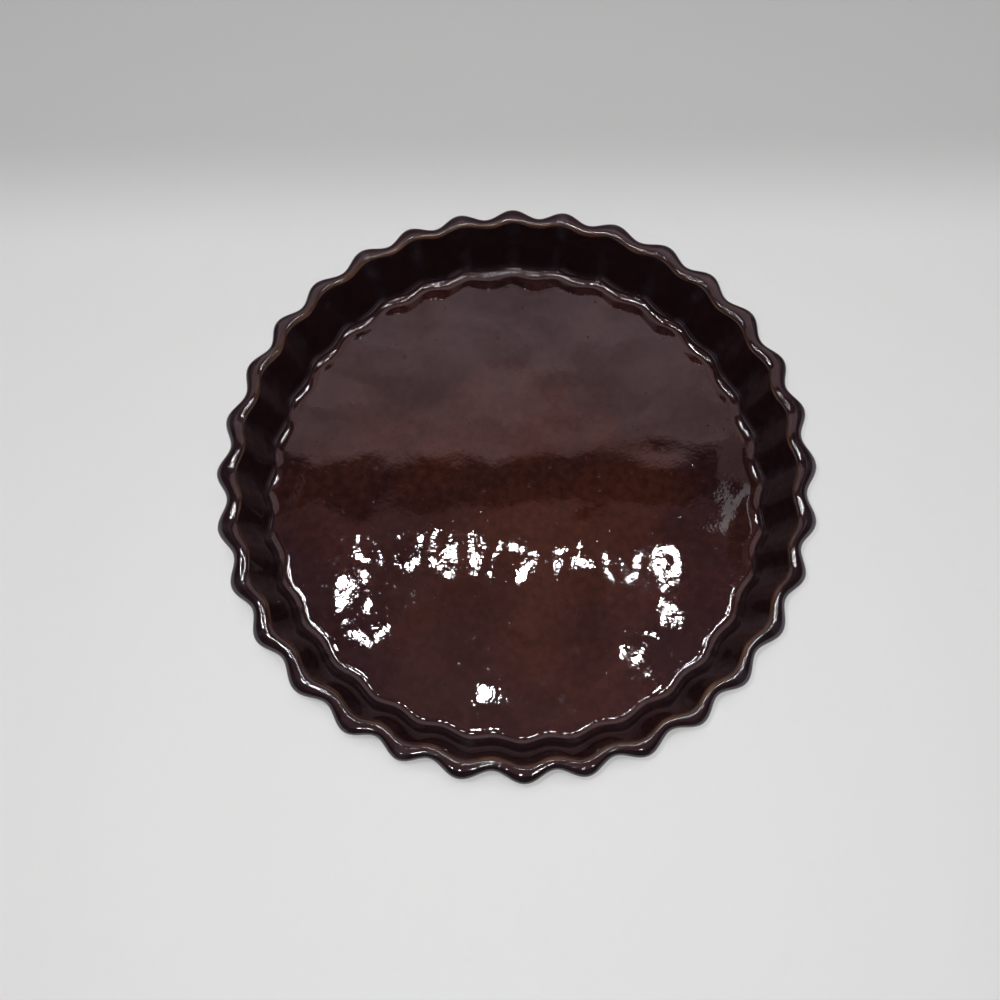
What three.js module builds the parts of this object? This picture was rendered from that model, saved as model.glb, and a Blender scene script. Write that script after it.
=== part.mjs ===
// A round quiche dish of pressed stoneware: a flat floor, a flaring fluted wall with a rounded rim, and a low foot
// ring. A glossy brown glaze is fused over the inside, the rim and the outside, down to the underside. A second patch
// of glaze covers the hollow inside the foot ring. The ring itself and a band on each side of it stay bare clay.
//
// Millimetres, +Z up. The origin is on the dish's axis, in the plane that the foot stands on.
import * as THREE from "three";

// Driving dimensions. All of them are of the bare clay, and the glaze adds its own thickness.
const RIM_DIAMETER = 269; // across two opposite crests of the rim
const HEIGHT = 39; // from the foot to the top of the rim
const RIM_THICKNESS = 6; // from the inside of the wall to the outside, at the rim
const RIM_INNER_ROUND = 2.2; // how far the tight inner edge of the rim reaches down
const RIM_OUTER_ROUND = 3.4; // how far the wide outer edge of the rim reaches down
const WALL_FLARE = 6.8; // how far the inside of the wall leans out, from the floor to the rim
const WALL_THICKNESS = 5; // from the inside of the wall to the outside, level with the floor
const FLOOR_THICKNESS = 6;
const FLOOR_FILLET = 5.6; // from the corner of floor and wall to where each of them runs straight
const BASE_FILLET = 4.5; // the same outside, at the corner of wall and underside
const UNDERSIDE_BAND = 4; // flat and glazed, from that rounded corner to the bare clay
const BARE_BAND = 2; // clay left bare on each side of the foot ring
const FOOT_WIDTH = 7; // of the foot ring, where it meets the table
const FOOT_HEIGHT = 2;
const FOOT_DRAFT = 0.8; // how far each side of the foot ring leans out over its height
const GLAZE_THICKNESS = 0.5;

// Flutes: waves round the wall, measured from crest to valley.
const FLUTES = 32;
const RIM_OUTER_FLUTE = 4.9;
const RIM_INNER_FLUTE = 2.7;
const FLOOR_FLUTE = 2;
const BASE_FLUTE = 2.4;

// Facets
const STEPS_PER_FLUTE = 6;
const STEPS_PER_ROUND = 2;
const BASE_GLAZE_SIDES = 64;

// Heights and mean radii that several pieces share. The outside of the wall runs straight from the rim past the
// floor's level to the underside, and the bands of the underside follow one another inwards from there.
const floorZ = FOOT_HEIGHT + FLOOR_THICKNESS;
const innerEdgeZ = HEIGHT - RIM_INNER_ROUND;
const outerEdgeZ = HEIGHT - RIM_OUTER_ROUND;
const rimOuterRadius = RIM_DIAMETER / 2 - RIM_OUTER_FLUTE / 2;
const rimInnerRadius = rimOuterRadius - RIM_THICKNESS;
const floorRadius = rimInnerRadius - WALL_FLARE;
const outerSlope = (rimOuterRadius - floorRadius - WALL_THICKNESS) / (outerEdgeZ - floorZ);
const baseRadius = rimOuterRadius - outerSlope * (outerEdgeZ - FOOT_HEIGHT);
const glazeLineRadius = baseRadius - BASE_FLUTE / 2 - BASE_FILLET - UNDERSIDE_BAND;
const footOuterRadius = glazeLineRadius - BARE_BAND - FOOT_DRAFT;
const footInnerRadius = footOuterRadius - FOOT_WIDTH;
const baseGlazeRadius = footInnerRadius - FOOT_DRAFT - BARE_BAND;

// The two sides of the flutes' waves
const CREST = 1;
const VALLEY = -1;

const glazeMaterial = new THREE.MeshStandardMaterial({ color: 0x3b1e18, roughness: 0.08, metalness: 0 });
const clayMaterial = new THREE.MeshStandardMaterial({ color: 0xb2977a, roughness: 0.85, metalness: 0 });

// The point on the way from one point to another, at a distance from the first.
function towards(from, to, distance) {
  return from.clone().lerp(to, distance / from.distanceTo(to));
}

// Half of the dish's section, through a crest or a valley of the flutes: from the middle of the floor, up the inside,
// over the rim and down the outside to the glaze line on the underside. The rim's two rounded edges share its width
// in the ratio of their heights.
function glazedSection(side) {
  const at = (radius, flute, z) => new THREE.Vector2(radius + (side * flute) / 2, z);
  const corner = at(floorRadius, FLOOR_FLUTE, floorZ);
  const innerEdge = at(rimInnerRadius, RIM_INNER_FLUTE, innerEdgeZ);
  const innerTop = at(rimInnerRadius, RIM_INNER_FLUTE, HEIGHT);
  const outerTop = at(rimOuterRadius, RIM_OUTER_FLUTE, HEIGHT);
  const outerEdge = at(rimOuterRadius, RIM_OUTER_FLUTE, outerEdgeZ);
  const crown = innerTop.clone().lerp(outerTop, RIM_INNER_ROUND / (RIM_INNER_ROUND + RIM_OUTER_ROUND));
  const baseCorner = at(baseRadius, BASE_FLUTE, FOOT_HEIGHT);
  const middle = new THREE.Vector2(0, floorZ);
  const glazeLine = new THREE.Vector2(glazeLineRadius, FOOT_HEIGHT);

  const floorEdge = towards(corner, middle, FLOOR_FILLET);
  const wallFoot = towards(corner, innerEdge, FLOOR_FILLET);
  const wallEnd = towards(baseCorner, outerEdge, BASE_FILLET);
  const underEdge = towards(baseCorner, glazeLine, BASE_FILLET);

  const path = new THREE.Path([middle, floorEdge]);
  path.quadraticCurveTo(corner.x, corner.y, wallFoot.x, wallFoot.y);
  path.lineTo(innerEdge.x, innerEdge.y);
  path.quadraticCurveTo(innerTop.x, innerTop.y, crown.x, crown.y);
  path.quadraticCurveTo(outerTop.x, outerTop.y, outerEdge.x, outerEdge.y);
  path.lineTo(wallEnd.x, wallEnd.y);
  path.quadraticCurveTo(baseCorner.x, baseCorner.y, underEdge.x, underEdge.y);
  path.lineTo(glazeLine.x, glazeLine.y);
  return path.getPoints(STEPS_PER_ROUND);
}

// The rest of the clay's section: the foot ring and the hollow inside it, round and without flutes.
function footSection() {
  return [
    new THREE.Vector2(footOuterRadius + FOOT_DRAFT, FOOT_HEIGHT),
    new THREE.Vector2(footOuterRadius, 0),
    new THREE.Vector2(footInnerRadius, 0),
    new THREE.Vector2(footInnerRadius - FOOT_DRAFT, FOOT_HEIGHT),
    new THREE.Vector2(0, FOOT_HEIGHT),
  ];
}

// The same section moved outwards by a coat's thickness, square to each of its edges.
function coated(points, thickness) {
  const normals = points.slice(1).map((point, i) => {
    const along = point.clone().sub(points[i]).normalize();
    return new THREE.Vector2(-along.y, along.x);
  });
  return points.map((point, i) => {
    const before = normals[Math.max(i - 1, 0)];
    const after = normals[Math.min(i, normals.length - 1)];
    const mitre = before.clone().add(after).divideScalar(1 + before.dot(after));
    return point.clone().addScaledVector(mitre, thickness);
  });
}

// A body turned round the dish's axis, whose section swings between a crest's and a valley's as the flutes go round.
// Each facet is split along its shorter diagonal, so that two bodies that share a surface share its triangles too.
function fluted(crest, valley) {
  const columns = FLUTES * STEPS_PER_FLUTE;
  const rows = crest.length;
  const points = [];
  for (let column = 0; column < columns; column++) {
    const angle = (2 * Math.PI * column) / columns;
    const share = (1 + Math.cos(FLUTES * angle)) / 2;
    for (let row = 0; row < rows; row++) {
      const { x: radius, y: z } = valley[row].clone().lerp(crest[row], share);
      points.push(new THREE.Vector3(radius * Math.sin(angle), radius * Math.cos(angle), z));
    }
  }
  const triangles = [];
  for (let column = 0; column < columns; column++) {
    for (let row = 0; row + 1 < rows; row++) {
      const a = column * rows + row;
      const b = ((column + 1) % columns) * rows + row;
      const c = b + 1;
      const d = a + 1;
      const splitFromA = points[a].distanceTo(points[c]) < points[b].distanceTo(points[d]);
      triangles.push(...(splitFromA ? [a, b, c, a, c, d] : [a, b, d, b, c, d]));
    }
  }
  const geometry = new THREE.BufferGeometry().setFromPoints(points).setIndex(triangles);
  geometry.computeVertexNormals();
  return geometry;
}

function piece(name, geometry, material) {
  const mesh = new THREE.Mesh(geometry, material);
  mesh.name = name;
  return mesh;
}

const crestSection = glazedSection(CREST);
const valleySection = glazedSection(VALLEY);

// The pressed and fired clay, in one piece
function stonewareBody() {
  const foot = footSection();
  return fluted([...crestSection, ...foot], [...valleySection, ...foot]);
}

// The coat on the inside, the rim and the outside: one unbroken layer on the clay
function glazeCoat() {
  const layer = (section) => [...coated(section, GLAZE_THICKNESS), ...section.toReversed()];
  return fluted(layer(crestSection), layer(valleySection));
}

// The patch of glaze in the hollow inside the foot ring
function baseGlaze() {
  const patch = new THREE.CylinderGeometry(baseGlazeRadius, baseGlazeRadius, GLAZE_THICKNESS, BASE_GLAZE_SIDES);
  return patch.rotateX(Math.PI / 2).translate(0, 0, FOOT_HEIGHT - GLAZE_THICKNESS / 2);
}

const dish = new THREE.Group();
dish.add(piece("stoneware_body", stonewareBody(), clayMaterial));
dish.add(piece("glaze_coat", glazeCoat(), glazeMaterial));
dish.add(piece("base_glaze", baseGlaze(), glazeMaterial));

export default dish;
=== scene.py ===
"""A glazed stoneware quiche dish on pale paper, under the lights of a small photo box.

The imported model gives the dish's size and place. Its three solids are replaced by finer meshes of the
same pieces: the bare clay, the glaze coat with its ripples, thin edges and pools, and the patch of glaze
inside the foot ring.
"""
import math

import bpy
import numpy as np
from mathutils import Matrix, Vector

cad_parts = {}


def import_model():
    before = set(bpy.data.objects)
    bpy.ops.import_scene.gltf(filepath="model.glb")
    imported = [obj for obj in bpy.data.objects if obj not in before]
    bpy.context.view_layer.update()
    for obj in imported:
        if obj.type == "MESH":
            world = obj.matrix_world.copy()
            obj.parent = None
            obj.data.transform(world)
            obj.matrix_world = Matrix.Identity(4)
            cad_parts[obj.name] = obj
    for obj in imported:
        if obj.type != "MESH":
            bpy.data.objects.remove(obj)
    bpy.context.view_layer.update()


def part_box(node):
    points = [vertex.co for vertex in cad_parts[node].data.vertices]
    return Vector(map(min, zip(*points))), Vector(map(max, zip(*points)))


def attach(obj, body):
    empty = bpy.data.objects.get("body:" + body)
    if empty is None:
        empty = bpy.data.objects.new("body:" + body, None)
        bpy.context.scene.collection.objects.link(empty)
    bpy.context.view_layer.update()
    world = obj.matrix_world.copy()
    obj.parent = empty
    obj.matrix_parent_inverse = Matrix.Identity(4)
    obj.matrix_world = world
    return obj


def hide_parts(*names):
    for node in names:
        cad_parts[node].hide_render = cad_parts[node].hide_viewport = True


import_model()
clay_low, clay_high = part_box("stoneware_body")
patch_low, patch_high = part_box("base_glaze")

MM = 0.001

# The dish, in metres: the bare clay, which the glaze then covers.
RIM_RADIUS = clay_high.x  # at a crest of the flutes
HEIGHT = clay_high.z
FOOT_HEIGHT = patch_high.z
RIM_THICKNESS = 6 * MM
RIM_INNER_ROUND = 2.2 * MM
RIM_OUTER_ROUND = 3.4 * MM
WALL_FLARE = 6.8 * MM
WALL_THICKNESS = 5 * MM
FLOOR_THICKNESS = 6 * MM
FLOOR_FILLET = 5.6 * MM
BASE_FILLET = 4.5 * MM
UNDERSIDE_BAND = 4 * MM
BARE_BAND = 2 * MM
FOOT_WIDTH = 7 * MM
FOOT_DRAFT = 0.8 * MM
FOOT_ROUND = 0.5 * MM
GLAZE_THICKNESS = 0.5 * MM

# Flutes, measured from crest to valley
FLUTES = 32
RIM_OUTER_FLUTE = 4.9 * MM
RIM_INNER_FLUTE = 2.7 * MM
FLOOR_FLUTE = 2 * MM
BASE_FLUTE = 2.4 * MM
CREST = 1
VALLEY = -1

# Mesh steps
COLUMNS = FLUTES * 16
FLOOR_STEPS = 76
WALL_STEPS = 20
ROUND_STEPS = 8
BAND_STEPS = 6
LINING_SKIP = 4  # the hidden side of the glaze has one row for this many of the clay
CROWN_ROW = FLOOR_STEPS + ROUND_STEPS + WALL_STEPS + ROUND_STEPS  # where the rim turns down outside

# What a hand-finished dish shows
SEED = 7
FLUTE_WANDER = math.radians(0.35)  # how far a flute strays round the rim
FLUTE_WANDER_WAVES = range(3, 12)  # numbers of waves to a turn
OUT_OF_ROUND = 0.25 * MM
OUT_OF_ROUND_WAVES = range(2, 5)
RIM_SPREAD = 0.7 * MM  # how much wider the outside of the rim is, averaged round the dish
RIM_SPREAD_SWING = math.sqrt(2)  # how far that comes and goes, twice in a turn, as a multiple of it
RIM_SPREAD_TURN = math.radians(22.5)  # where the spread is widest, as on the opposite side
RIPPLE_WAVES = 120
RIPPLE_LENGTHS = (13 * MM, 50 * MM)
RIPPLE_SLOPE = 0.012
EDGE_PULL = 0.7 * MM  # the glaze draws back from an edge bent tighter than this and fills corners alike
EDGE_THINNING = 0.45
OUTER_EDGE_SHARE = 0.5  # how much of the inner edge's thinning shows on the outside
GLAZE_END = 1.4 * MM  # width of the rounded end of the coat on the underside
GLAZE_LINE_WANDER = 0.35 * MM
GLAZE_LINE_WAVES = range(5, 40)
PATCH_LINE_POWER = 4  # the higher, the closer to the edge of the patch its line wanders
POOL_HEIGHT = 0.06 * MM  # waves of the glaze round the floor's edge, one to a flute
POOL_REACH = 6 * MM
WARM_MIDDLE = (0, -25 * MM)  # where the floor's colour is warmest and lightest; it darkens towards the floor's edge
WARM_REACH = 115 * MM
WALL_COLOUR_FROM = 2.5 * MM  # beyond the floor's edge, where its colour starts to turn into the wall's painted shade
WALL_COLOUR_WIDTH = 3.5 * MM

# The camera, from the photograph's perspective
CAMERA_AZIMUTH = math.radians(-5.0)
CAMERA_ELEVATION = math.radians(71.83)
CAMERA_DISTANCE = 393.7 * MM  # from the middle of the rim
CAMERA_TARGET_Z = 37.3 * MM
CAMERA_AIM = Vector((-8.16 * MM, -14.35 * MM, CAMERA_TARGET_Z))
CAMERA_ROLL = math.radians(0.53)
LENS_MM = 31.39
SENSOR_MM = 36

# Glaze and clay colours
GLAZE_MIDDLE = (0.038, 0.0108, 0.0066, 1)
GLAZE_OUTER = (0.0165, 0.0062, 0.0066, 1)
# painted shade: the wall, the rim and the outside get this darker colour than the floor
WALL_PAINTED_SHADE = (0.0120, 0.0054, 0.0066, 1)
FLUTE_PAINTED_REFLECTION = (0.021, 0.015, 0.019, 1)  # painted reflection: a lighter, greyer stripe down each flute of the wall
GLAZE_BROKEN = (0.062, 0.028, 0.0145, 1)  # where it thins over an edge and the clay shows through
GLAZE_IOR = 1.5
CLAY_PALE = (0.47, 0.34, 0.23, 1)
CLAY_DARK = (0.38, 0.26, 0.165, 1)
CLAY_SPECK = (0.11, 0.065, 0.045, 1)

# Texture of the glaze and the clay. A span is the stretch of a value over which something sets in.
CLOUD_SPAN = (0.35, 0.65)
NOISE_SPAN = (0.3, 0.7)
CLOUD_SIZE = 40 * MM
CLOUD_WARMTH = (-0.35, 0.3)  # what the clouds take from the floor's warm colour and add to it
MOTTLE_SIZE = 4 * MM
MOTTLE_SHADE = (0.78, 1.22)
PATCH_SIZE = 14 * MM
FLUTE_SPAN = (0.4, 1.1)
FLUTE_PATCH_SPAN = (0.4, 0.7)
BROKEN_SPAN = (0.17, 0.42)
BROKEN_PATCH_SPAN = (0.3, 0.6)
BROKEN_SHARE = (0.5, 1)  # how much of the broken colour shows, between patches and in them
GLAZE_ROUGHNESS = (0.008, 0.018)
WALL_CALM = 0.55  # how much of the floor's swell and peel the wall has
SWELL_SIZE = 6 * MM
SWELL_DEPTH = 0.035 * MM
PEEL_SIZE = 1.4 * MM
PEEL_DEPTH = 0.010 * MM
DIMPLE_SIZE = 1.3 * MM
DIMPLE_SPAN = (0.06, 0.2)
DIMPLE_DEPTH = 0.05 * MM
FINE_PIT_GAP = 3 * MM
FINE_PIT_RADII = (0.1 * MM, 0.4 * MM)  # of its bottom and its brim
FINE_PIT_DEPTH = 0.012 * MM
PINHOLE_GAP = 7 * MM
PINHOLE_RADII = (0.15 * MM, 0.5 * MM)
PINHOLE_DEPTH = 0.06 * MM
CRATER_GAP = 10 * MM
CRATER_RADII = (0.5 * MM, 0.9 * MM)
CRATER_DEPTH = 0.1 * MM
CLAY_CLOUD_SIZE = 12 * MM
CLAY_CLOUD_DEPTH = 0.2 * MM
CLAY_GRAIN_SIZE = 0.7 * MM
CLAY_GRAIN_DEPTH = 0.12 * MM
CLAY_ROUGHNESS = (0.75, 0.95)
SPECK_GAP = 2.2 * MM
SPECK_RADII = (0.18 * MM, 0.32 * MM)

# The photo box, in metres. Its lit strips and walls show only as reflections in the glaze.
CEILING = 0.40
LED_SIZE = 4 * MM
LED_PITCH = 27 * MM
LED_ROWS = (-7.5 * MM, 7.5 * MM)
LED_STRENGTH = 500
LED_GAP = 1 * MM  # between the strips and the ceiling's card
LED_STRIPS = {
    "leds_back": ((-0.150, 0.060), (0.160, 0.036)),
    "leds_left": ((-0.152, 0.036), (-0.118, -0.030)),
    "leds_right": ((0.155, 0.012), (0.107, -0.060)),
}
FRONT_LED_SIZE = 6 * MM
FRONT_LED_PITCH = 64 * MM
FRONT_LEDS = ((-0.16, -0.24), (0.16, -0.24))
CARD_STEPS = 16
BACK_WALL_TOP = 0.143
BACK_WALL_FOOT = 0.20
BOX_HALF_WIDTH = 0.21
CARD_FOOT = 0.03
CEILING_BACK = 0.105
CEILING_FRONT = -0.3
FRONT_WALL = -0.34
SIDE_WALL_END = 0.157
WALL_LOW = Vector((1.24, 1.00, 1.09))
WALL_HIGH = Vector((0.90, 0.53, 0.54))
CEILING_MIDDLE = Vector((0.60, 0.28, 0.27))
CEILING_SIDES = Vector((0.42, 0.20, 0.25))
SIDE_GLOW = Vector((1.08, 0.98, 1.12))
FRONT_GLOW = Vector((0.07, 0.07, 0.085))
WHITE = Vector((1, 1, 1))
CARD_CLOUD_SIZE = 45 * MM
CARD_UNEVENNESS = (0.75, 1.27)

# How the cards' light sets in or fades: the shares of the way along or up a card where it is out and full
BACK_TOP_FADE = (1, 0.94)
BACK_DIM = 0.12  # the share of its light that the foot of the back card has
DIM_END = (0.25, 0.32)
CEILING_SIDE_FADE = (0.4, 0.15)  # measured from the card's middle
CEILING_DIM = 0.65  # the share of its light that the back of the ceiling's card has
CEILING_DIM_END = (0.1, 0.5)
SPILL = 0.7  # how much of the back card's light lies on the ends of the side cards
SPILL_SPAN = (0.86, 1)
SIDE_DIM = 0.03  # the share of its light that the dark part of a side card has
SIDE_TOP_FADE = (0.25, 0.14)
SIDE_BACK_FADE = (0.95, 0.65)
FRONT_TOP_FADE = (1, 0.6)

# Lights and paper
KEY_PLACE = Vector((0, -0.2, 2.2))
KEY_SIZE = 1.0
KEY_POWER = 35
BACK_FILL_POWER = 0.8
FLASH_PLACE = Vector((-0.0232, -0.1089, 0.411))
FLASH_RADIUS = 4 * MM
FLASH_POWER = 1.3
GLINT_PLACE = Vector((-0.017, -0.074, 0.39))
GLINT_RADIUS = 3 * MM
GLINT_GLOW = 1500
SLIT_CORNER = Vector((0.1756, 0.0589, 0.33))
SLIT_ACROSS = Vector((0.0094, -0.0045, 0))
SLIT_ALONG = Vector((0.0222, 0.0463, 0))
SLIT_GLOW = Vector((2.4, 2.2, 2.3))
SLIT_LOSS = 0.6  # how much of its light the slit loses along its length
PAPER_ALBEDO = 0.8
# painted shade: behind the dish the paper's colour falls to this
PAPER_SHADED = 0.585
PAPER_SHADE_FROM = 0.135
PAPER_SHADE_TO = 0.215
PAPER_ROUGHNESS = 0.9
PAPER_FLAT_RADIUS = 1.0
PAPER_SWEEP = 1.2
PAPER_COLUMNS = 96
BACKGROUND = (0.6, 0.6, 0.6, 1)

# Places worked out from the clay's sizes
floor_z = FOOT_HEIGHT + FLOOR_THICKNESS
inner_edge_z = HEIGHT - RIM_INNER_ROUND
outer_edge_z = HEIGHT - RIM_OUTER_ROUND
rim_outer_radius = RIM_RADIUS - RIM_OUTER_FLUTE / 2
rim_inner_radius = rim_outer_radius - RIM_THICKNESS
floor_radius = rim_inner_radius - WALL_FLARE
outer_slope = (rim_outer_radius - floor_radius - WALL_THICKNESS) / (outer_edge_z - floor_z)
base_radius = rim_outer_radius - outer_slope * (outer_edge_z - FOOT_HEIGHT)
glaze_line_radius = base_radius - BASE_FLUTE / 2 - BASE_FILLET - UNDERSIDE_BAND
foot_outer_radius = glaze_line_radius - BARE_BAND - FOOT_DRAFT
foot_inner_radius = foot_outer_radius - FOOT_WIDTH

rng = np.random.default_rng(SEED)
angles = np.arange(COLUMNS) * 2 * math.pi / COLUMNS
outwards = np.stack([np.cos(angles), np.sin(angles), np.zeros(COLUMNS)], axis=-1)


def point(radius, z):
    return np.array([radius, z])


def towards(start, end, distance):
    return start + (end - start) * distance / np.linalg.norm(end - start)


def straight(start, end, steps):
    """Evenly spaced points from start to end, without start."""
    share = np.linspace(0, 1, steps + 1)[1:, None]
    return start + (end - start) * share


def bent(start, corner, end, steps):
    """Points of a round from start to end that leaves and arrives in line with a corner, without start."""
    share = np.linspace(0, 1, steps + 1)[1:, None]
    return (1 - share) ** 2 * start + 2 * share * (1 - share) * corner + share**2 * end


def glazed_section(side):
    """The clay's section at a crest or a valley.

    It runs from beside the middle of the floor, up the inside, over the rim and down the outside to the
    glaze line on the underside.
    """

    def at(radius, flute, z):
        return point(radius + side * flute / 2, z)

    middle = point(0, floor_z)
    corner = at(floor_radius, FLOOR_FLUTE, floor_z)
    inner_edge = at(rim_inner_radius, RIM_INNER_FLUTE, inner_edge_z)
    inner_top = at(rim_inner_radius, RIM_INNER_FLUTE, HEIGHT)
    outer_top = at(rim_outer_radius, RIM_OUTER_FLUTE, HEIGHT)
    outer_edge = at(rim_outer_radius, RIM_OUTER_FLUTE, outer_edge_z)
    crown = inner_top + (outer_top - inner_top) * RIM_INNER_ROUND / (RIM_INNER_ROUND + RIM_OUTER_ROUND)
    base_corner = at(base_radius, BASE_FLUTE, FOOT_HEIGHT)
    glaze_line = point(glaze_line_radius, FOOT_HEIGHT)
    floor_edge = towards(corner, middle, FLOOR_FILLET)
    wall_foot = towards(corner, inner_edge, FLOOR_FILLET)
    wall_end = towards(base_corner, outer_edge, BASE_FILLET)
    under_edge = towards(base_corner, glaze_line, BASE_FILLET)
    return np.vstack(
        [
            straight(middle, floor_edge, FLOOR_STEPS),
            bent(floor_edge, corner, wall_foot, ROUND_STEPS),
            straight(wall_foot, inner_edge, WALL_STEPS),
            bent(inner_edge, inner_top, crown, ROUND_STEPS),
            bent(crown, outer_top, outer_edge, ROUND_STEPS),
            straight(outer_edge, wall_end, WALL_STEPS),
            bent(wall_end, base_corner, under_edge, ROUND_STEPS),
            straight(under_edge, glaze_line, BAND_STEPS),
        ]
    )


def foot_section():
    """The rest of the clay's section: the bare band, the foot ring with eased edges, and its hollow."""
    start = point(glaze_line_radius, FOOT_HEIGHT)
    outer_root = point(foot_outer_radius + FOOT_DRAFT, FOOT_HEIGHT)
    outer_toe = point(foot_outer_radius, 0)
    inner_toe = point(foot_inner_radius, 0)
    inner_root = point(foot_inner_radius - FOOT_DRAFT, FOOT_HEIGHT)
    middle = point(0, FOOT_HEIGHT)
    path = [start]
    stops = [start, outer_root, outer_toe, inner_toe, inner_root, middle]
    for before, corner, after in zip(stops, stops[1:], stops[2:]):
        begin = towards(corner, before, FOOT_ROUND)
        end = towards(corner, after, FOOT_ROUND)
        path.extend(straight(path[-1], begin, BAND_STEPS))
        path.extend(bent(begin, corner, end, BAND_STEPS))
    path.extend(straight(path[-1], middle, BAND_STEPS)[:-1])
    return np.array(path[1:])


def wander(size, harmonics):
    """A smooth, closed, uneven wave round the dish."""
    waves = [rng.normal() * np.cos(k * angles + rng.uniform(0, 2 * math.pi)) for k in harmonics]
    return size * np.sum(waves, axis=0) / math.sqrt(len(waves) / 2)


flute_stray = wander(FLUTE_WANDER, FLUTE_WANDER_WAVES)
roundness = wander(OUT_OF_ROUND, OUT_OF_ROUND_WAVES)
flute_wave = np.cos(FLUTES * (angles + flute_stray))  # 1 at a crest, -1 in a valley


def fluted(crest, valley):
    """A grid of points, column by column, whose section swings between a crest's and a valley's."""
    share = (1 + flute_wave)[:, None, None] / 2
    section = valley + (crest - valley) * share
    radius = section[..., 0] * (1 + roundness[:, None] / RIM_RADIUS)
    x = radius * np.cos(angles)[:, None]
    y = radius * np.sin(angles)[:, None]
    return np.stack([x, y, section[..., 1]], axis=-1)


def around(grid):
    """From the column before to the column after, at each point."""
    return np.roll(grid, -1, axis=0) - np.roll(grid, 1, axis=0)


def along(grid):
    """From the row before to the row after, at each point."""
    return np.gradient(grid, axis=1)


def grid_normals(grid):
    normals = np.cross(along(grid), around(grid))
    return normals / np.linalg.norm(normals, axis=-1, keepdims=True)


def bending(grid, normals):
    """How sharply the surface bends at each point, in 1/m: above 0 on an edge, below 0 in a corner."""
    total = 0
    for step in (around, along):
        path = step(grid)
        total = total + (step(normals) * path).sum(axis=-1) / (path * path).sum(axis=-1)
    return total


def ripple(points):
    """Height of the glaze's unevenness: many small waves in random directions."""
    height = np.zeros(points.shape[:-1])
    slope = RIPPLE_SLOPE * math.sqrt(2 / RIPPLE_WAVES)
    for _ in range(RIPPLE_WAVES):
        length = math.exp(rng.uniform(*np.log(RIPPLE_LENGTHS)))
        direction = rng.normal(size=3)
        direction *= 2 * math.pi / length / np.linalg.norm(direction)
        height += slope * length / (2 * math.pi) * np.cos(points @ direction + rng.uniform(0, 2 * math.pi))
    return height


def link(made):
    bpy.context.scene.collection.objects.link(made)
    return made


def quads(here, there, rows):
    """Faces between two neighbouring columns of points, from the first point of each."""
    return [(here + row, here + row + 1, there + row + 1, there + row) for row in range(rows - 1)]


def smooth_object(name, vertices, faces):
    mesh = bpy.data.meshes.new(name)
    mesh.from_pydata(vertices, [], faces)
    mesh.polygons.foreach_set("use_smooth", np.ones(len(faces), dtype=bool))
    mesh.update()
    return link(bpy.data.objects.new(name, mesh))


def turned(name, grid, first_pole, last_pole):
    """A closed mesh object of a grid that runs round the axis, with a point on the axis at each end."""
    columns, rows = grid.shape[:2]
    vertices = np.vstack([grid.reshape(-1, 3), first_pole, last_pole])
    first, last = columns * rows, columns * rows + 1
    faces = []
    for column in range(columns):
        here = column * rows
        there = (column + 1) % columns * rows
        faces.append((first, here, there))
        faces.extend(quads(here, there, rows))
        faces.append((here + rows - 1, last, there + rows - 1))
    return smooth_object(name, vertices.tolist(), faces)


def store(made, name, values, pole_values):
    """Keep a number for each point of a turned mesh: the grid's, then the two poles'."""
    layer = made.data.attributes.new(name, "FLOAT", "POINT")
    layer.data.foreach_set("value", np.concatenate([values.ravel(), pole_values]))


def shifted_outwards(size, share):
    """A move away from the axis: its size in each column, times the share of it in each row."""
    return outwards[:, None] * (size[:, None] * share)[..., None]


def pressed_clay():
    """The clay that the glaze covers, with the outside of the rim spread and the underside left round."""
    grid = fluted(glazed_section(CREST), glazed_section(VALLEY))
    share = np.clip((grid[..., 2] - FOOT_HEIGHT) / (HEIGHT - FOOT_HEIGHT), 0, 1)
    share[:, : CROWN_ROW - ROUND_STEPS] = 0
    share[:, CROWN_ROW - ROUND_STEPS : CROWN_ROW] *= np.linspace(0, 1, ROUND_STEPS)
    spread = RIM_SPREAD * (1 + RIM_SPREAD_SWING * np.cos(2 * (angles - RIM_SPREAD_TURN)))
    return grid + shifted_outwards(spread, share)


clay_grid = pressed_clay()


def stoneware_body():
    foot = foot_section()
    grid = np.concatenate([clay_grid, fluted(foot, foot)], axis=1)
    return turned("stoneware", grid, [0, 0, floor_z], [0, 0, FOOT_HEIGHT])


def glazed_clay():
    """The clay under the coat, with the coat's last rows on the underside moved to a wavy glaze line."""
    grid = clay_grid.copy()
    line = wander(GLAZE_LINE_WANDER, GLAZE_LINE_WAVES)
    share = np.linspace(0, 1, BAND_STEPS + 1)[1:]
    grid[:, -BAND_STEPS:] += shifted_outwards(line, share)
    return grid


def glaze_layers(under, edge, past_floor):
    """What the glaze's colour and relief follow, at each point of its outer side."""
    thin = edge.copy()
    thin[:, CROWN_ROW:] *= OUTER_EDGE_SHARE
    wall = np.clip((past_floor - WALL_COLOUR_FROM) / WALL_COLOUR_WIDTH, 0, 1)
    wall[:, CROWN_ROW:] = 1
    middle = np.clip(1 - np.linalg.norm(under[..., :2] - WARM_MIDDLE, axis=-1) / WARM_REACH, 0, 1)
    flute = np.tile(flute_wave[:, None], (1, edge.shape[1]))
    return {"thin": thin, "rounded": np.abs(edge), "wall": wall, "middle": middle, "flute": flute}


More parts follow.
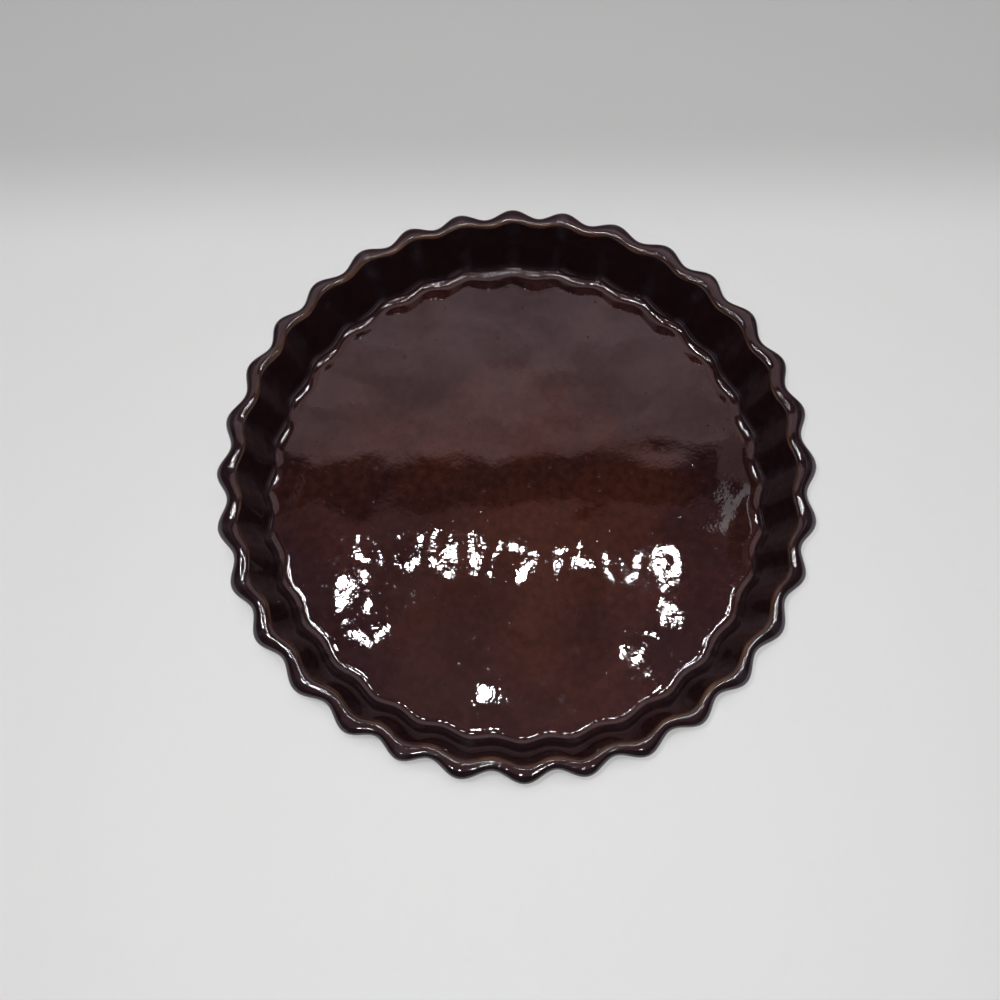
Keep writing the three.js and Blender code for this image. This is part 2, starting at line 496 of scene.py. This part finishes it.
def glaze_coat():
    """The clay's surface moved out by the glaze's depth, closed by a lining that lies on the clay."""
    under = glazed_clay()
    normals = grid_normals(under)
    edge = np.tanh(bending(under, normals) * EDGE_PULL)
    radius = np.linalg.norm(under[..., :2], axis=-1)
    past_floor = radius - radius[:, FLOOR_STEPS - 1, None]
    pool = POOL_HEIGHT * flute_wave[:, None] * np.exp(-np.abs(past_floor) / POOL_REACH)
    pool[:, FLOOR_STEPS + ROUND_STEPS :] = 0
    to_end = np.linalg.norm(under - under[:, -1:], axis=-1) / GLAZE_END
    rounded_end = np.sqrt(1 - (1 - np.clip(to_end, 0, 1)) ** 2)
    depth = GLAZE_THICKNESS * (1 - EDGE_THINNING * edge) + ripple(under) + pool
    outside = under + normals * (depth * rounded_end)[..., None]
    lining = under[:, -2::-LINING_SKIP]
    surface = np.concatenate([outside, lining], axis=1)
    coat = turned("glaze", surface, [0, 0, floor_z + GLAZE_THICKNESS], [0, 0, floor_z])
    hidden = np.zeros(lining.shape[:2])
    for name, values in glaze_layers(under, edge, past_floor).items():
        store(coat, name, np.concatenate([values, hidden], axis=1), [values[0, 0], 0])
    return coat


def base_glaze():
    """The patch inside the foot ring: a low pool with a rounded edge."""
    radius = patch_high.x
    edge = radius - GLAZE_END
    corner = point(radius, patch_low.z)
    top = straight(point(0, FOOT_HEIGHT), point(radius, FOOT_HEIGHT), FLOOR_STEPS // 2)
    rounded = bent(point(radius, FOOT_HEIGHT), corner, point(edge, patch_low.z), ROUND_STEPS)
    under = straight(point(edge, patch_low.z), point(0, patch_low.z), FLOOR_STEPS // 2)[:-1]
    section = np.vstack([top, rounded, under])
    grid = fluted(section, section)
    share = (section[:, 0] / radius) ** PATCH_LINE_POWER
    line = wander(GLAZE_LINE_WANDER, GLAZE_LINE_WAVES) / radius
    grid[..., :2] *= (1 + line[:, None] * share)[..., None]
    lowered = grid[:, len(top) + len(rounded) :]
    lowered[..., 2] += ripple(lowered)
    return turned("base_glaze_patch", grid, [0, 0, FOOT_HEIGHT], [0, 0, patch_low.z])


def node(tree, kind, inputs=None, **settings):
    """A new shader node, with each input set to a value or joined to another node's output."""
    made = tree.nodes.new("ShaderNode" + kind)
    for name, value in settings.items():
        setattr(made, name, value)
    for name, value in (inputs or {}).items():
        feed(tree, value, made.inputs[name])
    return made


def feed(tree, value, socket):
    if isinstance(value, bpy.types.NodeSocket):
        tree.links.new(value, socket)
    else:
        socket.default_value = value


def noise(tree, size, detail=2):
    """Noise from 0 to 1 whose blotches are about size metres across."""
    place = node(tree, "TexCoord").outputs["Object"]
    settings = {"Vector": place, "Scale": 1 / size, "Detail": detail}
    return node(tree, "TexNoise", settings).outputs["Fac"]


def cells(tree, size):
    """Distance in metres to the nearest of a scatter of points about size metres apart."""
    place = node(tree, "TexCoord").outputs["Object"]
    distance = node(tree, "TexVoronoi", {"Vector": place, "Scale": 1 / size}).outputs["Distance"]
    return maths(tree, "MULTIPLY", distance, size)


def maths(tree, operation, first, second):
    made = node(tree, "Math", operation=operation)
    feed(tree, first, made.inputs[0])
    feed(tree, second, made.inputs[1])
    return made.outputs[0]


def ramp(tree, value, start, end, low=0.0, high=1.0):
    """A smooth step from low to high as the value goes from start to end."""
    settings = {"Value": value, "From Min": start, "From Max": end, "To Min": low, "To Max": high}
    return node(tree, "MapRange", settings, interpolation_type="SMOOTHSTEP").outputs["Result"]


def mixed(tree, share, first, second, blend_type="MIX"):
    mix = node(tree, "Mix", data_type="RGBA", blend_type=blend_type)
    sockets = {socket.identifier: socket for socket in mix.inputs}
    feed(tree, share, sockets["Factor_Float"])
    feed(tree, first, sockets["A_Color"])
    feed(tree, second, sockets["B_Color"])
    return next(socket for socket in mix.outputs if socket.identifier == "Result_Color")


def grey(tree, value):
    return node(tree, "CombineColor", {"Red": value, "Green": value, "Blue": value}).outputs["Color"]


def bumped(tree, heights):
    """A normal tilted by layers of relief, each a height from 0 to 1 and its depth in metres."""
    normal = None
    for height, depth in heights:
        relief = node(tree, "Bump", {"Height": height, "Distance": depth})
        if normal:
            tree.links.new(normal, relief.inputs["Normal"])
        normal = relief.outputs["Normal"]
    return normal


def attribute(tree, name):
    return node(tree, "Attribute", attribute_name=name).outputs["Fac"]


def material(name):
    made = bpy.data.materials.new(name)
    made.use_nodes = True
    return made, made.node_tree, made.node_tree.nodes["Principled BSDF"]


def glaze_colour(tree, clouds):
    """Warmer and lighter in the floor's middle, painted shade on the wall and rim, brown where the glaze
    breaks over an edge.
    """
    mottle = noise(tree, MOTTLE_SIZE, detail=4)
    patches = noise(tree, PATCH_SIZE)
    cloud_warmth = ramp(tree, clouds, *CLOUD_SPAN, *CLOUD_WARMTH)
    warmth = maths(tree, "ADD", attribute(tree, "middle"), cloud_warmth)
    floor = mixed(tree, warmth, GLAZE_OUTER, GLAZE_MIDDLE)
    # painted reflection: patchy lighter, greyer stripes down the wall's flutes, over its painted shade
    flute = ramp(tree, attribute(tree, "flute"), *FLUTE_SPAN)
    flute_reflection_share = maths(tree, "MULTIPLY", flute, ramp(tree, patches, *FLUTE_PATCH_SPAN))
    wall = mixed(tree, flute_reflection_share, WALL_PAINTED_SHADE, FLUTE_PAINTED_REFLECTION)
    colour = mixed(tree, attribute(tree, "wall"), floor, wall)
    bare_edge = ramp(tree, attribute(tree, "thin"), *BROKEN_SPAN)
    patchy = ramp(tree, patches, *BROKEN_PATCH_SPAN, *BROKEN_SHARE)
    broken = maths(tree, "MULTIPLY", bare_edge, patchy)
    colour = mixed(tree, broken, colour, GLAZE_BROKEN)
    shade = ramp(tree, mottle, *NOISE_SPAN, *MOTTLE_SHADE)
    return mixed(tree, 1.0, colour, grey(tree, shade), "MULTIPLY")


def glaze_relief(tree):
    """Swell and orange peel, dimples along the edges, and pits of three sizes."""
    calm = ramp(tree, attribute(tree, "wall"), 0, 1, 1, WALL_CALM)
    by_edges = ramp(tree, attribute(tree, "rounded"), *DIMPLE_SPAN)
    return (
        (maths(tree, "MULTIPLY", noise(tree, SWELL_SIZE), calm), SWELL_DEPTH),
        (maths(tree, "MULTIPLY", noise(tree, PEEL_SIZE), calm), PEEL_DEPTH),
        (maths(tree, "MULTIPLY", noise(tree, DIMPLE_SIZE), by_edges), DIMPLE_DEPTH),
        (ramp(tree, cells(tree, FINE_PIT_GAP), *FINE_PIT_RADII), FINE_PIT_DEPTH),
        (ramp(tree, cells(tree, PINHOLE_GAP), *PINHOLE_RADII), PINHOLE_DEPTH),
        (ramp(tree, cells(tree, CRATER_GAP), *CRATER_RADII), CRATER_DEPTH),
    )


def glaze_material():
    made, tree, shader = material("brown_glaze")
    clouds = noise(tree, CLOUD_SIZE, detail=4)
    roughness = ramp(tree, clouds, *CLOUD_SPAN, *GLAZE_ROUGHNESS)
    tree.links.new(glaze_colour(tree, clouds), shader.inputs["Base Color"])
    tree.links.new(roughness, shader.inputs["Roughness"])
    shader.inputs["IOR"].default_value = GLAZE_IOR
    tree.links.new(bumped(tree, glaze_relief(tree)), shader.inputs["Normal"])
    return made


def stoneware_material():
    made, tree, shader = material("bare_stoneware")
    clouds = noise(tree, CLAY_CLOUD_SIZE, detail=5)
    grain = noise(tree, CLAY_GRAIN_SIZE, detail=3)
    specks = ramp(tree, cells(tree, SPECK_GAP), *SPECK_RADII)
    colour = mixed(tree, ramp(tree, clouds, *CLOUD_SPAN), CLAY_DARK, CLAY_PALE)
    colour = mixed(tree, specks, CLAY_SPECK, colour)
    roughness = ramp(tree, grain, *NOISE_SPAN, *CLAY_ROUGHNESS)
    relief = ((grain, CLAY_GRAIN_DEPTH), (clouds, CLAY_CLOUD_DEPTH))
    tree.links.new(colour, shader.inputs["Base Color"])
    tree.links.new(roughness, shader.inputs["Roughness"])
    tree.links.new(bumped(tree, relief), shader.inputs["Normal"])
    return made


def glow_material(name):
    """Light of the colour that the mesh holds at each point, a little uneven."""
    made = bpy.data.materials.new(name)
    made.use_nodes = True
    tree = made.node_tree
    tree.nodes.clear()
    colour = node(tree, "Attribute", attribute_name="glow").outputs["Color"]
    uneven = ramp(tree, noise(tree, CARD_CLOUD_SIZE, detail=3), *NOISE_SPAN, *CARD_UNEVENNESS)
    light = node(tree, "Emission", {"Color": colour, "Strength": uneven})
    node(tree, "OutputMaterial", {"Surface": light.outputs["Emission"]})
    return made


def emitter(name, vertices, faces, glow):
    """A lit mesh that the camera doesn't see, only what mirrors it. Its glow is a colour for each point."""
    mesh = bpy.data.meshes.new(name)
    mesh.from_pydata(vertices, [], faces)
    layer = mesh.attributes.new("glow", "FLOAT_COLOR", "POINT")
    layer.data.foreach_set("color", np.ravel([(*colour, 1) for colour in glow]))
    mesh.materials.append(glow_material(name))
    made = link(bpy.data.objects.new(name, mesh))
    made.visible_camera = False
    made.visible_diffuse = False
    made.visible_shadow = False


def led_strip(name, start, end, size=LED_SIZE, pitch=LED_PITCH):
    start, end = Vector((*start, CEILING)), Vector((*end, CEILING))
    count = round((end - start).length / pitch)
    aside = (end - start).cross(Vector((0, 0, 1))).normalized()
    half = size / 2
    square = ((-half, -half), (-half, half), (half, half), (half, -half))
    corners = [Vector((x, y, 0)) for x, y in square]
    vertices, faces = [], []
    for row in LED_ROWS:
        for i in range(count):
            middle = start.lerp(end, (i + 0.5) / count) + aside * row
            faces.append(tuple(range(len(vertices), len(vertices) + len(corners))))
            vertices.extend(middle + corner for corner in corners)
    emitter(name, vertices, faces, [WHITE * LED_STRENGTH] * len(vertices))


def card(name, corner, across, up, glow):
    """A flat card from a corner along two sides, whose glow changes with the share of the way along each."""
    corner, across, up = Vector(corner), Vector(across), Vector(up)
    row = CARD_STEPS + 1
    steps = [i / CARD_STEPS for i in range(row)]
    shares = [(u, v) for v in steps for u in steps]
    first_corners = [j * row + i for j in range(CARD_STEPS) for i in range(CARD_STEPS)]
    faces = [(first, first + 1, first + row + 1, first + row) for first in first_corners]
    vertices = [corner + across * u + up * v for u, v in shares]
    emitter(name, vertices, faces, [glow(u, v) for u, v in shares])


def fade(value, start, end):
    """From 0 at start to 1 at end, smoothly."""
    share = min(max((value - start) / (end - start), 0), 1)
    return share * share * (3 - 2 * share)


# The light of each card, from the shares of the way along it (u) and up or across it (v)
def back_glow(u, v):
    lit = BACK_DIM + (1 - BACK_DIM) * fade(v, *DIM_END)
    return WALL_LOW.lerp(WALL_HIGH, v) * fade(v, *BACK_TOP_FADE) * lit


def ceiling_glow(u, v):
    glow = CEILING_SIDES.lerp(CEILING_MIDDLE, fade(abs(u - 0.5), *CEILING_SIDE_FADE))
    return glow * (CEILING_DIM + (1 - CEILING_DIM) * fade(v, *CEILING_DIM_END))


def side_glow(u, v):
    spill = WALL_HIGH * (SPILL * fade(u, *SPILL_SPAN) * fade(v, *DIM_END))
    return SIDE_GLOW * (SIDE_DIM + fade(v, *SIDE_TOP_FADE) * fade(u, *SIDE_BACK_FADE)) + spill


def front_glow(u, v):
    return FRONT_GLOW * fade(v, *FRONT_TOP_FADE)


def slit_glow(u, v):
    return SLIT_GLOW * (1 - SLIT_LOSS * v)


def glint():
    """A small bright disc near the camera."""
    ring = [2 * math.pi * i / CARD_STEPS for i in range(CARD_STEPS)]
    disc = [GLINT_PLACE + GLINT_RADIUS * Vector((math.cos(turn), math.sin(turn), 0)) for turn in ring]
    emitter("glint", disc, [tuple(range(CARD_STEPS))], [WHITE * GLINT_GLOW] * CARD_STEPS)


def photo_box():
    for name, (start, end) in LED_STRIPS.items():
        led_strip(name, start, end)
    led_strip("leds_front", *FRONT_LEDS, FRONT_LED_SIZE, FRONT_LED_PITCH)
    width = 2 * BOX_HALF_WIDTH
    rise = CEILING - CARD_FOOT
    lean = BACK_WALL_TOP - BACK_WALL_FOOT
    back_corner = (-BOX_HALF_WIDTH, BACK_WALL_FOOT, CARD_FOOT)
    card("back_card", back_corner, (width, 0, 0), (0, lean, rise), back_glow)
    ceiling_corner = (-BOX_HALF_WIDTH, CEILING_BACK, CEILING + LED_GAP)
    card("ceiling_card", ceiling_corner, (width, 0, 0), (0, CEILING_FRONT - CEILING_BACK, 0), ceiling_glow)
    front_corner = (-BOX_HALF_WIDTH, FRONT_WALL, CARD_FOOT)
    card("front_card", front_corner, (width, 0, 0), (0, 0, rise), front_glow)
    for side, name in ((-1, "left_card"), (1, "right_card")):
        side_corner = (side * BOX_HALF_WIDTH, FRONT_WALL, CARD_FOOT)
        card(name, side_corner, (0, SIDE_WALL_END - FRONT_WALL, 0), (0, 0, rise), side_glow)
    card("light_slit", SLIT_CORNER, SLIT_ACROSS, SLIT_ALONG, slit_glow)
    glint()


def lamp(kind, name, power, place, aim, lit):
    """A lamp that lights only the given objects. The glaze mirrors the photo box instead of it."""
    data = bpy.data.lights.new(name, kind)
    data.energy = power
    made = link(bpy.data.objects.new(name, data))
    made.location = place
    made.rotation_euler = (Vector(aim) - Vector(place)).to_track_quat("-Z", "Y").to_euler()
    made.visible_camera = False
    made.visible_glossy = False
    receivers = bpy.data.collections.new(name + "_receivers")
    for receiver in lit:
        receivers.objects.link(receiver)
    made.light_linking.receiver_collection = receivers
    return data


def lights(dish, paper):
    """A wide soft light from above, the back wall's light on the dish and a faint flash on the paper."""
    key = lamp("AREA", "key_light", KEY_POWER, KEY_PLACE, (0, 0, 0), [*dish, paper])
    key.shape = "SQUARE"
    key.size = KEY_SIZE
    middle = (0, (BACK_WALL_TOP + BACK_WALL_FOOT) / 2, (CEILING + CARD_FOOT) / 2)
    fill = lamp("AREA", "back_fill", BACK_FILL_POWER, middle, (0, 0, middle[2]), dish)
    fill.shape = "RECTANGLE"
    fill.size = 2 * BOX_HALF_WIDTH
    fill.size_y = CEILING - CARD_FOOT
    flash = lamp("POINT", "flash", FLASH_POWER, FLASH_PLACE, (0, 0, 0), [paper])
    flash.shadow_soft_size = FLASH_RADIUS


def paper_material():
    """Pale paper, greyer behind the dish as painted shade."""
    made, tree, shader = material("paper")
    place = node(tree, "SeparateXYZ", {"Vector": node(tree, "TexCoord").outputs["Object"]})
    albedo = ramp(tree, place.outputs["Y"], PAPER_SHADE_FROM, PAPER_SHADE_TO, PAPER_ALBEDO, PAPER_SHADED)
    tree.links.new(grey(tree, albedo), shader.inputs["Base Color"])
    shader.inputs["Roughness"].default_value = PAPER_ROUGHNESS
    return made


def paper():
    """A round sheet, flat under and round the dish and swept up to a wall far from it on every side."""
    flat_end = point(PAPER_FLAT_RADIUS, 0)
    corner = point(PAPER_FLAT_RADIUS + PAPER_SWEEP, 0)
    top = point(PAPER_FLAT_RADIUS + PAPER_SWEEP, PAPER_SWEEP)
    section = np.vstack([flat_end, bent(flat_end, corner, top, WALL_STEPS)])
    turns = np.arange(PAPER_COLUMNS) * 2 * math.pi / PAPER_COLUMNS
    x = np.outer(np.cos(turns), section[:, 0])
    y = np.outer(np.sin(turns), section[:, 0])
    z = np.tile(section[:, 1], (PAPER_COLUMNS, 1))
    rows = len(section)
    vertices = np.stack([x, y, z], axis=-1).reshape(-1, 3).tolist()
    faces = [tuple(column * rows for column in range(PAPER_COLUMNS))]
    for column in range(PAPER_COLUMNS):
        here = column * rows
        there = (column + 1) % PAPER_COLUMNS * rows
        faces.extend(quads(here, there, rows))
    made = smooth_object("paper", vertices, faces)
    made.data.materials.append(paper_material())
    return made


def camera():
    data = bpy.data.cameras.new("camera")
    data.lens = LENS_MM
    data.sensor_width = SENSOR_MM
    made = link(bpy.data.objects.new("camera", data))
    level = math.cos(CAMERA_ELEVATION)
    aside = math.sin(CAMERA_AZIMUTH) * level
    ahead = math.cos(CAMERA_AZIMUTH) * level
    back = Vector((aside, -ahead, math.sin(CAMERA_ELEVATION)))
    made.location = Vector((0, 0, CAMERA_TARGET_Z)) + back * CAMERA_DISTANCE
    facing = (CAMERA_AIM - made.location).to_track_quat("-Z", "Y").to_matrix()
    made.rotation_euler = (facing @ Matrix.Rotation(CAMERA_ROLL, 3, "Z")).to_euler()
    bpy.context.scene.camera = made


def world():
    """A pale background above the paper's edge, which lights nothing."""
    made = bpy.data.worlds.new("world")
    bpy.context.scene.world = made
    made.use_nodes = True
    made.node_tree.nodes["Background"].inputs["Color"].default_value = BACKGROUND
    made.cycles_visibility.diffuse = False
    made.cycles_visibility.glossy = False


glaze = glaze_material()
clay = stoneware_material()
dish = [stoneware_body(), glaze_coat(), base_glaze()]
solids = ("stoneware_body", "glaze_coat", "base_glaze")
slots = ("stoneware", "glaze", "glaze")
for piece, solid, slot in zip(dish, solids, slots):
    piece.data.materials.append(clay if slot == "stoneware" else glaze)
    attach(piece, "root")
    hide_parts(solid)

camera()
lights(dish, paper())
photo_box()
world()
bpy.context.scene.view_settings.view_transform = "Standard"
